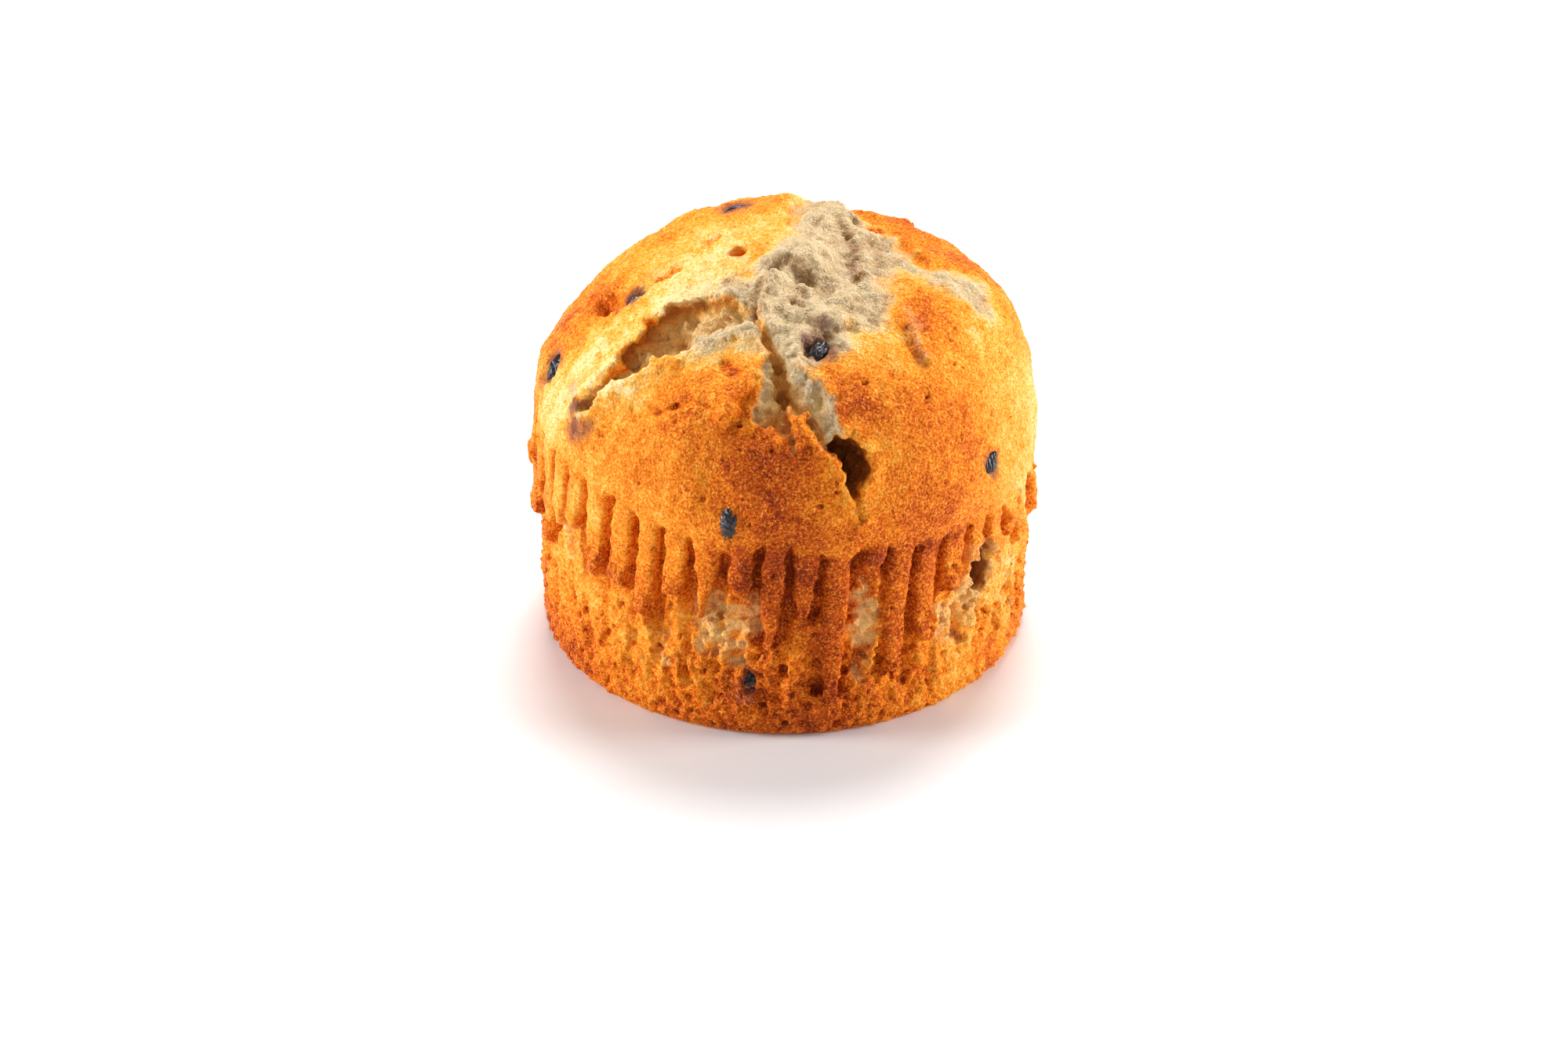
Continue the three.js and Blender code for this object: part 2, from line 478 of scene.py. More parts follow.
# %% The tears
LEFT_UPPER_LIP = [
    (-6, -15.5), (-12, -13), (-17, -12), (-21, -12.4), (-23.6, -12.7), (-25.2, -14.5),
    (-25.9, -16.4), (-28.6, -17.6), (-30.6, -19), (-31.2, -21), (-34.5, -22.4), (-38.5, -23),
]
LEFT_LOWER_LIP = [
    (-5.5, -21), (-9, -20.5), (-13, -20.7), (-16.9, -21.1), (-17.2, -23), (-19.8, -24),
    (-22, -23.6), (-26.4, -23.7), (-30.7, -24), (-34.5, -24.4), (-37, -25), (-38.5, -25.4),
]
FRONT_WALL_EDGE = [(-4.3, -26.4), (-4.9, -30), (-5.6, -33), (-6.8, -35.6), (-7.2, -37.4)]
FRONT_WALL_FOOT = [
    (-3.2, -26.4), (-2.2, -28.6), (-1.2, -31.6), (-0.6, -34.5), (-0.3, -36.4), (-0.2, -38.5),
    (0.5, -42.0), (-1.0, -40.8), (-2.9, -39.7), (-5.6, -38.5), (-7.2, -37.6),
]
FRONT_RIGHT_EDGE = [
    (-1.8, -26.4), (1.2, -29.6), (3.5, -31.2), (6.0, -32.8), (8.0, -35.1), (8.6, -37.8),
    (9.6, -40.2),
]
FRONT_RIGHT_FOOT = [
    (-3.2, -26.4), (-2.2, -28.6), (-0.8, -31.6), (0.2, -34.5), (1.0, -36.3), (3.4, -36.9),
    (3.9, -39.2), (6.2, -42), (8.0, -42.4), (9.6, -40.6),
]
HOLE = [
    (7.6, -41.4), (8.4, -39.6), (10.4, -39.5), (12.6, -40.4), (14.6, -41.6), (16.1, -43.6),
    (16.1, -45.4), (15.3, -46.9), (14.9, -48.4), (14.8, -49.6), (15.2, -51.4), (15.5, -52.6),
    (14.9, -51.6), (12.3, -48.2), (10.2, -45.2), (7.9, -42.6),
]
CAVITY = [
    (-37.5, -0.4), (-35, 1.6), (-32, 0.9), (-29, -1.2), (-26, -3.2), (-25.2, -4.2),
    (-27.5, -5.8), (-30, -6), (-32.5, -5.9), (-35.5, -3.5),
]
HOLE_SLOPE = [(0, 0), (0.25, 2.5), (0.9, 7.0), (2.0, 9.5), (3.5, 10.0)]  # in from the edge, depth
CAVITY_SLOPE = [(-0.3, 0), (0.3, 1.2), (1.2, 3.4), (2.4, 4.4)]
SCRAP = (7.0, -40.6)  # a scrap of crumb that stands above the hole
SLITS = [  # line, width, depth
    ([(-6.5, -17), (-5.6, -20.5), (-4.6, -24), (-3.3, -27)], 0.7, 2.2),
    ([(-3.5, -26.6), (-2.4, -28.8), (-1.2, -31.6), (-0.3, -34.4), (1.0, -36.4)], 1.0, 3.6),
    ([(-1.0, -34.2), (0.4, -35.6), (1.6, -36.6)], 0.9, 3.0),
    ([(3.4, -36.8), (4.0, -39.4), (6.2, -42), (8.0, -42.8)], 0.6, 2.8),
    ([(-0.4, -38.0), (0.4, -40.6), (1.0, -43.4)], 0.4, 2.4),
    ([(14.9, -51.6), (15.8, -54), (16.5, -55.5)], 0.3, 1.2),
]


def torn_wall(upper, lower, depths, profile, pattern):
    """How deep the wall between two lips lies, how far inside the tear each point is, and its
    distance to the upper lip, share of the way along it, and direction to it."""
    places = ragged(0.5, 0.75, pattern)
    inside = depth_inside(places, upper + lower[::-1])
    from_upper, along, way, _ = near(places, upper)
    from_lower, _, _, _ = near(places, lower)
    across_tear = from_upper / (from_upper + from_lower + 1e-6)
    wall_depth = np.interp(across_tear, *zip(*profile)) * np.interp(along, *zip(*depths))
    bumps = 1.5 * ripple(plain, 3.6, pattern + 5, 2) + 0.6 * ripple(plain, 1.4, pattern)
    wall_depth = np.clip(wall_depth - ease(0.3, 1.6, inside) * bumps, 0.1, None)
    return np.where(inside > 0, wall_depth, 0.0), inside, from_upper, along, way


left_cut, left_inside, left_reach, left_along, left_way = torn_wall(
    LEFT_UPPER_LIP,
    LEFT_LOWER_LIP,
    depths=[(0, 2.5), (0.15, 4.5), (0.4, 6.5), (0.6, 7), (0.8, 6), (0.93, 4.5), (1, 1.5)],
    profile=[(0, 0.12), (0.07, 0.45), (0.25, 0.58), (0.6, 0.66), (0.8, 0.9), (0.9, 1.15),
             (0.96, 0.95), (1, 0.2)],
    pattern=11,
)
wall_cut, wall_inside, *_ = torn_wall(
    FRONT_WALL_EDGE,
    FRONT_WALL_FOOT,
    depths=[(0, 2.0), (0.5, 4.0), (0.8, 5.5), (1, 4.5)],
    profile=[(0, 0.10), (0.2, 0.30), (0.6, 0.65), (0.85, 1.1), (1, 0.9)],
    pattern=21,
)
right_cut, right_inside, *_ = torn_wall(
    FRONT_RIGHT_EDGE,
    FRONT_RIGHT_FOOT,
    depths=[(0, 1.5), (0.5, 3.0), (1, 3.2)],
    profile=[(0, 0.05), (0.4, 0.25), (0.8, 0.65), (1, 1.1)],
    pattern=25,
)
right_cut *= 1 - 0.9 * bell(far_from(ragged(0.4, 0.5, 27), SCRAP), 2.1)
hole_places = ragged(0.3, 0.6, 28)
hole_inside = depth_inside(hole_places, HOLE)
hole_cut = np.interp(hole_inside, *zip(*HOLE_SLOPE))
hole_cut *= 1 + 0.12 * ripple(plain, 2.2, 29, 2)
slit_cut = np.zeros(len(plain))
slit_places = ragged(0.5, 0.4, 24)
for line, width, slit_depth in SLITS:
    distance, along, _, _ = near(slit_places, line)
    slit_cut = np.maximum(slit_cut, slit_depth * bell(distance, width) * ease(0, 0.12, along))
cavity_inside = depth_inside(ragged(0.6, 0.5, 30), CAVITY)
cavity_cut = np.interp(cavity_inside, *zip(*CAVITY_SLOPE))
deeper = wall_cut + right_cut + slit_cut + cavity_cut
cut = np.maximum(np.maximum(left_cut + 0.6 * slit_cut, deeper), hole_cut)
torn_inside = np.maximum.reduce([left_inside, wall_inside, right_inside, hole_inside])
torn = ease(0, 0.3, torn_inside)
torn = np.maximum(torn, ease(0.8, 1.8, slit_cut))
push_out -= cut
edge_crumbs = bell(torn_inside + 0.8, 1.1) * (torn_inside < 0.5)
push_out += edge_crumbs * (0.25 + 0.9 * ripple(plain, 1.5, 19, 2))
print("deepest tear:", round(cut.max(), 1), "mm")

# %% [markdown]
# ## Lips that overhang
# A torn crust curls, and its edge stands out over the wall below it. Pushing points in and out can
# only make a steep wall, so the lip is also moved sideways over the gap, and the wall behind it is
# drawn back under. The next remesh turns that into a real overhang.

# %% Overhanging lips
def overhang(inside, reach, way, along, strength):
    """Moves the crust towards a tear near one lip, and the wall below it away."""
    amount = np.interp(along, *zip(*strength))
    outside = (inside <= 0) * bell(reach, 1.8)
    under = (inside > 0) * bell(reach - 0.4, 1.2)
    return way * (amount * (outside + 0.8 * under))[:, None]


push_along += overhang(left_inside, left_reach, left_way, left_along,
                       [(0, 0), (0.3, 0.3), (0.45, 1.5), (0.8, 1.5), (1, 0)])
hole_reach, _, hole_way, _ = near(hole_places, HOLE[1:9])
push_along += hole_way * (0.8 * bell(hole_reach, 1.4) * (hole_inside <= 0))[:, None]
curl = bell(left_reach - 0.8, 1.3) * (left_inside <= 0) * ease(0.3, 0.5, left_along)
push_out += 0.5 * curl + 0.35 * bell(hole_reach - 0.7, 1.0) * (hole_inside <= 0)
plate_rim = bell(left_inside + 1.6, 1.8) * (left_inside <= 0) * (spot[:, 1] < -20)
push_out += 0.8 * plate_rim
print("lips moved by up to", round(np.abs(push_along).max(), 2), "mm")

# %% [markdown]
# ## The open crown
# At the very top the crust never closed. The crumb there is pale and lumpy, with a few creases
# where one lump pushed against another. Its edge is drawn on the map. Every crease is a line with
# a width and a depth, and a shelf is a crease whose one side stands higher than the other.

# %% The open crown
CROWN_CRUMB = [(-20, -13.5), (-16, -11.5), (-12, -9.5), (-8, -8.5), (-5, -3.5), (-2.2, -3),
               (-0.5, 2), (0.8, 10), (1.7, 18), (2.2, 30), (4.5, 30), (7, 22), (10, 14),
               (12.5, 9), (15.8, 7), (19.6, 1), (22.6, -2.8), (25, -2.6), (28, -1.5),
               (31.4, -0.6), (33.5, -2.4), (34, -7), (31.5, -11), (28.5, -9.3), (25.5, -7.4),
               (21, -5), (17, -5.2), (16, -10), (15.5, -15.4), (13.6, -19), (10, -20.5),
               (8.6, -24.5), (6, -28), (2.5, -30), (-2, -31), (-4, -27), (-6, -24.5),
               (-11, -23.2), (-17, -23.5), (-19, -18)]
CREASES = [  # line, width, depth, and how much higher the ground to the left of the line stands
    ([(-6.5, -19), (-6.2, -16), (-5.8, -13), (-5.2, -11), (-3.6, -9.6), (-1.6, -9.0)],
     0.55, 2.0, -1.9),
    ([(-4.6, -8.0), (-2.2, -8.4), (0.2, -8.6), (2.4, -9.4), (4.6, -11.2)], 0.45, 0.9, 2.4),
    ([(6.2, 12.6), (8.6, 8), (10.2, 2.1), (9.3, -1.5), (8.9, -5.2), (10.4, -8), (10.6, -11.5)],
     0.8, 0.8, 1.2),
    ([(-1.8, -16), (0, -14.5), (1.4, -12.5)], 0.6, 0.8, 0.5),
    ([(0.3, -20.3), (4.0, -21.2), (7, -21.2), (11, -19.8)], 0.6, 0.6, 0.6),
    ([(10.4, -8), (11.6, -9.5), (13, -9)], 0.6, 0.8, 0.4),
    ([(12.5, -1.5), (15, -2.5), (16, -5)], 0.6, 0.5, 0.5),
    ([(-16, -17), (-12, -16.2), (-9.5, -17)], 0.7, 0.6, 0.8),
    ([(-2.5, 4), (-1.0, 10), (0.5, 18), (1.6, 33)], 0.5, 0.2, 1.7),
    ([(17.5, 8), (19.6, 4.2), (21.2, 1.6), (23.9, -1.8)], 0.32, 1.3, 1.5),
    ([(5.5, 33), (7.5, 24), (9.5, 17), (11, 10)], 0.6, 0.4, -1.7),
    ([(12.5, 27), (13.5, 22), (16, 17)], 0.5, 0.5, -1.3),
    ([(19.5, 25), (20.6, 20), (22, 14), (24, 8)], 0.5, 0.4, -1.8),
    ([(19.4, -17.5), (20.6, -21.5), (22.8, -25.5)], 0.3, 0.5, 1.7),
    ([(-5.6, -30), (-7.1, -32.4), (-9.0, -34.6), (-9.6, -37.4), (-12.4, -39)], 0.4, 0.9, -2.6),
    ([(1.6, -27), (2.6, -24.4), (4.0, -22.9), (6.2, -23)], 0.7, 1.0, 1.3),
    ([(-17, 26), (-15.5, 22), (-12, 18)], 0.6, 0.4, -1.0),
    ([(-24.5, 22), (-23, 18), (-19, 14)], 0.6, 0.3, -0.9),
]
PALE_STREAK = [(19, -15), (20.2, -19.5), (22.6, -24)]

crumb_places = ragged(1.3, 0.6, 31)
crumb_inside = depth_inside(crumb_places, CROWN_CRUMB) + 3.0 * ripple(plain, 5.0, 36, 3)
open_crumb = ease(-1.7, 1.7, crumb_inside)
lumps = 1.5 * ripple(plain, 7.0, 32, 1) + 0.5 * ripple(plain, 3.2, 33, 1)
lumps += 1.7 * grains(plain, 3.3, 37) + 0.35
push_out += open_crumb * lumps * (1 - torn)
# Painted shade: crumb is darkened in the hollows between lumps and along the creases.
crease_shade = 0.5 * ease(0.1, -0.9, lumps) * open_crumb
streak, _, _, _ = near(crumb_places, PALE_STREAK)
open_crumb = np.maximum(open_crumb, 0.25 * ease(0.9, 0.3, streak))
crease_places = ragged(0.9, 0.5, 34)
for line, width, crease_depth, shelf in CREASES:
    distance, along, _, side = near(crease_places, line)
    ends = ease(0, 0.15, along) * ease(1, 0.85, along)
    push_out -= crease_depth * bell(distance, width) * ends
    push_out += 0.5 * shelf * np.tanh(side / 0.3) * bell(distance, 3.6) * ends
    crease_shade = np.maximum(crease_shade, bell(distance, width) * ends * min(1.0, crease_depth))
print("open crumb:", round(100 * open_crumb.mean(), 1), "% of the surface")

# %% [markdown]
# ## Small marks
# Steam holes, dimples and short cracks are what make one muffin different from the next. All of
# them are dents: a place, a size along and across, a turn and a depth. Single crumbs that the paper
# pulled out stand up from the side instead.

# %% Small marks
DENTS = [  # place on the map, half length, half width, turn in degrees, depth
    ((-21.5, -2.0), 4.0, 1.0, 20, 0.8),
    ((-9.0, -1.5), 1.9, 1.3, 15, 3.2),
    ((-13.3, -11.6), 1.0, 0.6, 20, 1.6),
    ((-13.4, 5.5), 2.2, 1.0, 30, 0.7),
    ((10.4, -8.8), 0.8, 1.6, 0, 1.2),
    ((9.0, 6.7), 0.8, 0.7, 0, 1.2),
    ((10.0, 11.3), 1.1, 1.2, 0, 1.2),
    ((13.5, 10), 2.0, 1.4, 20, 1.0),
    ((-17.6, -22.6), 0.9, 1.3, 0, 2.4),
    ((-26.5, -21.6), 1.7, 1.1, 0, 3.0),
    ((-30.4, -20.2), 1.5, 1.3, 0, 3.0),
    ((-37.8, -24.2), 1.4, 1.1, 0, 3.4),
    ((-10.5, -28.3), 2.6, 1.6, -50, 0.8),
    ((-24.5, -31.5), 2.6, 0.5, -40, 1.3),
    ((-20, -33.2), 4.8, 0.45, 0, 1.4),
    ((-15, -34.2), 1.6, 0.4, -25, 1.0),
    ((-26.5, -47.5), 0.5, 0.6, 0, 1.0),
    ((-32.2, -48.6), 1.0, 0.3, -50, 0.8),
    ((-6.7, -40.4), 1.2, 0.35, -35, 0.7),
    ((-0.3, -51.4), 0.4, 0.4, 0, 0.7),
    ((20, 19), 1.4, 0.8, 30, 1.2),
    ((-22, 30), 1.2, 0.9, 0, 1.0),
    ((12, 38), 2.4, 0.8, 70, 1.2),
    ((-38, 22), 1.0, 0.8, 0, 0.9),
    ((40, 18), 1.6, 0.7, 20, 0.9),
]

# Painted shade: the dents are darkened in the colour.
painted_dent_shade = np.zeros(len(plain))
shaken = ragged(0.35, 0.2, 41)
for place, half_length, half_breadth, dent_turn, dent_depth in DENTS:
    dent = 1 - ease(0.55, 1.05, oval(shaken, place, half_length, half_breadth, dent_turn))
    push_out -= dent_depth * dent
    painted_dent_shade = np.maximum(painted_dent_shade, dent * min(1.0, dent_depth))

STANDING_CRUMBS = [  # azimuth, height, how far it stands out
    (77, 33, 1.4), (80, 28.5, 1.6), (75, 25, 1.0), (84, 30.5, 1.3), (-79, 38.5, 1.0),
    (-83, 34, 1.2), (-76, 31, 0.9), (-14, 15.5, 1.2), (-10.5, 17.5, 1.0), (-22, 12, 0.9),
    (-24, 9.5, 1.0), (45.5, 26, 1.5), (53, 28.5, 1.3), (57, 22, 1.2), (50, 18.5, 1.0),
    (140, 20, 1.1), (205, 24, 1.2), (250, 28, 1.0),
]
crumb_shake = ragged(0.5, 0.5, 45)
for crumb_azimuth, crumb_height, stand in STANDING_CRUMBS:
    crumb_place = on_side(crumb_azimuth, crumb_height)
    push_out += stand * bell(far_from(crumb_shake, crumb_place), 1.1)
print(len(DENTS), "dents and", len(STANDING_CRUMBS), "standing crumbs")

# %% [markdown]
# ## The torn hole
# Low on the right, a berry tore a hole in the side when the paper came off. It is an oval on the
# map, painted dark inside as shade, and the crust round it is lumpy and has lost its skin in
# patches.

# %% The torn hole
TORN_HOLE = on_side(52.5, 23.5)
TORN_HOLE_HALVES = (5.4, 4.0)
TORN_HOLE_DEPTH = 5.5

torn_places = ragged(0.8, 0.7, 43)
hole_edge = oval(torn_places, TORN_HOLE, *TORN_HOLE_HALVES, 0)
torn_out = 1 - ease(0.85, 1.1, hole_edge)
# The inside of the hole is marked as crumb and painted dark as shade.
hole_crumb_and_shade = 1 - ease(1.05, 1.16, hole_edge)
push_out -= TORN_HOLE_DEPTH * torn_out
below_hole = np.array(TORN_HOLE) - (0, 2.5)
around_hole = bell(oval(torn_places, below_hole, 7.5, 8.0, 0), 1.0) * (1 - torn_out)
push_out += 1.2 * around_hole * ripple(plain, 2.2, 46, 2)
skinned = ease(0.35, 0.7, around_hole + 0.4 * ripple(plain, 2.5, 47, 2))
peeled = np.maximum(peeled, skinned * under_top)
print("torn hole:", TORN_HOLE_DEPTH, "mm deep")

# %% [markdown]
# ## Pockets for the berries
# Berries sink while the batter is soft. Each one has a place on the map, a size, and how far it
# stands proud of the crust. The crust as it is before the pockets is kept, because the berries are
# seated on it later. The muffin then gets a shallow pocket at each, and the juice that ran out
# stains the crumb around it.

# %% Where the berries are
BERRIES = {  # place, half width, length and thickness, turn, proud, pocket depth, juice reach
    "berry_top": ((4.4, -25.2), 2.9, 1.6, 1.6, 50, 0.35, 0.9, 2.6),
    "berry_left": (on_side(-82, 50.5), 2.4, 3.0, 2.4, 20, 0.0, 1.3, 2.6),
    "berry_right": ((44.2, -31.9), 1.7, 2.5, 1.5, -35, 0.5, 0.4, 1.1),
    "berry_front": ((-12.3, -54.2), 1.8, 3.1, 2.0, 0, 0.7, 0.0, 0.0),
    "berry_cavity": ((-28.2, -4.0), 2.4, 2.0, 2.2, 10, 2.4, 0.0, 1.4),
    "berry_back": ((-9.5, 17.0), 3.0, 1.3, 2.0, -10, 0.1, 0.3, 3.0),
    "berry_low": (on_side(-8, 10), 2.3, 2.2, 2.0, 0, -0.9, 1.6, 0.6),
    "berry_hole": (TORN_HOLE, 3.2, 2.8, 2.2, 25, 2.2, 0.0, 2.4),
    "berry_low_right": (on_side(69, 10), 1.2, 1.4, 1.2, 0, -0.3, 0.6, 0.6),
    "berry_behind": ((10, 47), 3.2, 2.6, 2.4, 40, 0.1, 1.0, 2.0),
    "berry_behind_low": (on_side(170, 21), 2.6, 2.4, 2.2, 0, -0.8, 1.4, 1.4),
    "berry_behind_left": ((-40, 33), 2.4, 2.8, 2.2, 15, 0.3, 0.2, 1.0),
}
STAINS = [  # juice with no berry in sight: place, reach, strength
    ((-40.0, -23.0), 2.6, 1.0),
    ((-41.5, -26.5), 3.4, 1.0),
    ((-38.5, -28.5), 2.4, 0.8),
    ((-41.0, -19.0), 1.6, 0.6),
    ((9.5, 3), 2.2, 0.35),
    ((9.3, -4), 2.6, 0.45),
    ((5.2, -20.5), 1.6, 0.6),
    ((24.9, -58.3), 1.3, 0.8),
    ((-24, 1), 3.0, 0.25),
    (on_side(18.5, 23), 3.0, 0.4),
    (on_side(-10, 9), 3.0, 0.5),
    (on_side(66, 27), 2.2, 0.6),
]

juice = np.zeros(len(plain))
crust_out = push_out.copy()
stain_places = ragged(1.2, 0.6, 51)
pocket_shake = 0.15 * ripple(plain, 1.5, 52)
for place, half_a, half_b, _, berry_turn, _, pocket, reach in BERRIES.values():
    share = oval(spot, place, half_a, half_b, berry_turn) + pocket_shake
    push_out -= pocket * (1 - ease(0.75, 1.3, share))
    if reach > 0:
        beyond = (far_from(stain_places, place) - min(half_a, half_b)) / reach
        juice = np.maximum(juice, 1 - ease(0.0, 1.0, beyond))
for place, reach, strength in STAINS:
    far = far_from(stain_places, place) / reach
    juice = np.maximum(juice, strength * (1 - ease(0.3, 1.2, far)))
print(len(BERRIES), "berries and", len(STAINS), "stains")

# %% [markdown]
# ## How brown it baked
# One number per point says how much the crust toasted, from pale gold to dark brown. It starts
# from noise, and listed patches make some sides darker and others lighter; the patch on the
# shaded right side is painted light. Ridges, their ends and the lowest band are darker than what
# is around them, and the crust beside open crumb is paler, because steam came out there. Dents,
# creases, the hollows between lumps and the tops of the grooves are made browner as painted shade.

# %% How brown it baked
USUAL_BAKE = 0.49
TOASTING = [  # place on the map, reach, change
    ((-18, -37), 7, 0.10),
    ((-2, -42), 10, 0.14),
    ((-2, -50), 10, 0.12),
    ((-26, -50), 9, -0.14),
    ((11.5, -34.5), 4.0, 0.17),
    ((-20, -31), 4, 0.10),
    ((-28, -27), 6, -0.20),
    ((-13, -26), 6, -0.22),
    ((-34, -17), 8, -0.30),
    ((-20, -6), 9, -0.36),
    ((-12, 6), 9, -0.30),
    ((-17, 3), 4, 0.15),
    ((0, 25), 9, -0.04),
    ((-33, -1.5), 4, 0.02),
    ((-42, 4), 9, 0.22),
    ((-47, -17), 8, -0.42),
    ((-58, -30), 9, -0.32),
    ((-45, -40), 9, -0.22),
    ((14, -24), 6, -0.10),
    ((21, -12), 6, 0.10),
    ((22, -5), 4, -0.05),
    ((30, 8), 8, 0.22),
    ((20, 22), 9, 0.12),
    ((21.5, -17), 2.5, 0.20),
    ((41, -12), 9, -0.14),
    ((50, -8), 7, -0.15),
    ((46, -24), 9, -0.16),
    ((30, -30), 12, 0.06),
    ((0, -56), 14, 0.16),
    ((32, -50), 12, 0.24),
    (on_side(60, 30), 8, -0.22),
    (on_side(72, 32), 8, -0.25),
    (on_side(66, 8), 14, -0.28),
    ((20, -58), 9, 0.10),
    ((0, -88), 22, 0.14),
    (on_side(84, 32), 9, -0.28),
    # Painted light: this patch makes the shaded right side paler.
    (on_side(100, 35), 9, -0.5),
    ((64, -64), 17, -0.30),
    ((-55, -75), 16, -0.18),
]

bake = USUAL_BAKE + 0.13 * ripple(plain, 14, 61, 2) + 0.05 * ripple(plain, 4, 62, 2)
blotches = 0.09 + 0.12 * bell(far_from(spot, (-22, -12)), 26)
bake += blotches * ripple(plain, 2.0, 67, 3)
bake_places = ragged(1.8, 0.6, 63)
for place, reach, change in TOASTING:
    bake += change * bell(far_from(bake_places, place), reach)
front_share = 0.5 + 0.5 * np.cos(turn)
bake += under_top * (-0.08 + 0.24 * front_share) * ridge
bake += 0.14 * under_top * knob
# Painted shade: the crust between the ridges is browner, most of all near the tops of the grooves.
bake += under_top * (1 - ridge) * (0.05 + 0.12 * ease(24, 34, height))
bake += 0.13 * (1 - ease(2, 18, height + 4 * ripple(plain, 6, 64, 2)))
bake -= 0.14 * under_top * (1 - ridge) * bell(height - 20, 7) * ease(-0.3, 0.4, streaks)
bake -= 0.26 * bell(crumb_inside, 3.0) * (1 - torn)
pale_edge = bell(torn_inside + 0.4, 1.2) * ease(-0.5, 0.4, ripple(plain, 2.5, 66))
bake -= 0.22 * pale_edge * (1 - torn)
dark_lip = bell(left_reach, 0.9) * (left_inside <= 0) * ease(0.25, 0.45, left_along)
bake += 0.30 * dark_lip
# Painted shade: dents, creases and the hollows between lumps are made browner.
bake += 0.40 * painted_dent_shade
bake = np.clip(bake, 0, 1)
crumb = np.clip(np.maximum(np.maximum(open_crumb, torn), 0.75 * peeled), 0, 1)
print("bake runs from", round(bake.min(), 2), "to", round(bake.max(), 2))

# %% [markdown]
# ## Moving the clay
# All the pushes are added up and applied at once. The stretched places, such as the walls of the
# tears, are then covered with even faces again. A remesh makes new points, so what is known about
# the old ones is carried over: each new point takes the average of its nearest old ones.

# %% Move, remesh and carry over
FINE_VOXEL = 0.38
NEAREST = 3  # how many old points each new one learns from

lean = DOME_LEAN * (np.clip(height - RIM_HEIGHT, 0, None) / (HEIGHT - RIM_HEIGHT)) ** LEAN_POWER
ray_flat = np.column_stack([np.sin(turn), -np.cos(turn)])
ring_flat = np.column_stack([np.cos(turn), np.sin(turn)])
sculpted = plain + outward * (push_out * ease(0.0, 2.0, height))[:, None]
sculpted += downhill * (push_along * ray_flat).sum(axis=1)[:, None]
sculpted += around * (push_along * ring_flat).sum(axis=1)[:, None]
sculpted[:, 0] += lean
set_points(blank, sculpted)
body = with_modifier(blank, "REMESH", mode="VOXEL", voxel_size=FINE_VOXEL)
points = vectors_of(body, "co")

# Painted shade: crumb gets warmer and then darker the deeper it lies in a tear, a slit or a hole,
# and a band of painted shadow lies under the overhanging upper lip of the left tear.
in_left_tear = left_inside > 0
lip_shadow = bell(left_reach - 0.2, 1.2) * in_left_tear * ease(0, 0.2, left_along)
painted_depth_shade = ease(0.0, 6.0, cut) * np.where(in_left_tear, 0.32, 0.6)
painted_depth_shade = np.maximum(painted_depth_shade, 0.8 * lip_shadow)
painted_depth_shade = np.maximum(painted_depth_shade, 0.65 * ease(0.6, 1.6, slit_cut))
painted_depth_shade = np.maximum(painted_depth_shade, 0.95 * np.maximum(ease(-0.25, 0.1, hole_inside), hole_crumb_and_shade))
known = {
    "crumb": np.maximum(crumb, hole_crumb_and_shade),
    "bake": bake,
    "juice": juice,
    "ridge": ridge * under_top,
    # Painted shade in the grooves between the ridges.
    "groove_shade": (1 - ridge) * ridge_reach * under_top,
    "painted_depth_shade": painted_depth_shade,
    "painted_dent_shade": np.maximum(painted_dent_shade, crease_shade),
    "side": under_top * (1 - hole_crumb_and_shade),
}
tree = kdtree.KDTree(len(sculpted))
for number, point in enumerate(sculpted.tolist()):
    tree.insert(point, number)
tree.balance()
nearest = [tree.find_n(point, NEAREST) for point in points.tolist()]
numbers = np.array([[number for _, number, _ in found] for found in nearest])
weights = 1 / (np.array([[gap for _, _, gap in found] for found in nearest]) + 0.05)
weights /= weights.sum(axis=1)[:, None]
known = {name: (values[numbers] * weights).sum(axis=1) for name, values in known.items()}
print("remeshed:", len(points), "points")

# %% [markdown]
# ## Crumb and pores
# Last comes the texture that can be felt. Bare crumb is small grains with bubbles between them, so
# it gets two sizes of grain, and pits where a noise runs high. The lowest band and the bare parts
# of the side, where batter touched the paper, are coarser still. Crust is tighter, with faint
# wrinkles and a few pores.

# %% Crumb and pores
def pits(points, size, threshold, pattern):
    """Round-bottomed pits where the noise is above the threshold."""
    return np.clip(ripple(points, size, pattern, 2) - threshold, 0, None)


low_band = 1 - ease(8, 22, points[:, 2] + 5 * ripple(points, 4, 71, 2))
bare_side = known["side"] * (1 - known["ridge"])
granular = known["side"] * np.clip(0.9 * low_band + 0.5 * bare_side, 0, 1)
crumb_now = np.clip(known["crumb"], 0, 1)
crust_now = np.clip(1 - crumb_now - granular, 0, 1)
coarse_grains = grains(points, 1.5, 81)
fine_grains = grains(points, 0.9, 82)
rough_side = 0.85 * coarse_grains + 0.5 * fine_grains + 0.35 * ripple(points, 1.6, 79, 2) - 0.1
rough_side -= 1.2 * pits(points, 1.7, 0.30, 78)
loose_crumb = 0.50 * coarse_grains + 0.55 * fine_grains + 0.18 * ripple(points, 2.0, 73, 2) - 0.06
loose_crumb -= 0.9 * pits(points, 1.8, 0.45, 74)
tight_crust = 0.28 * fine_grains + 0.20 * ripple(points, 2.4, 75, 3)
tight_crust -= 1.5 * pits(points, 1.6, 0.56, 77)
relief = granular * rough_side + crumb_now * loose_crumb + crust_now * tight_crust
relief *= ease(0.3, 1.2, points[:, 2])  # the underside stays flat
points = points + vectors_of(body, "normal") * relief[:, None]
points[:, 2] = np.clip(points[:, 2], 0, None)
set_points(body, points)
print("relief from", round(relief.min(), 2), "to", round(relief.max(), 2), "mm")

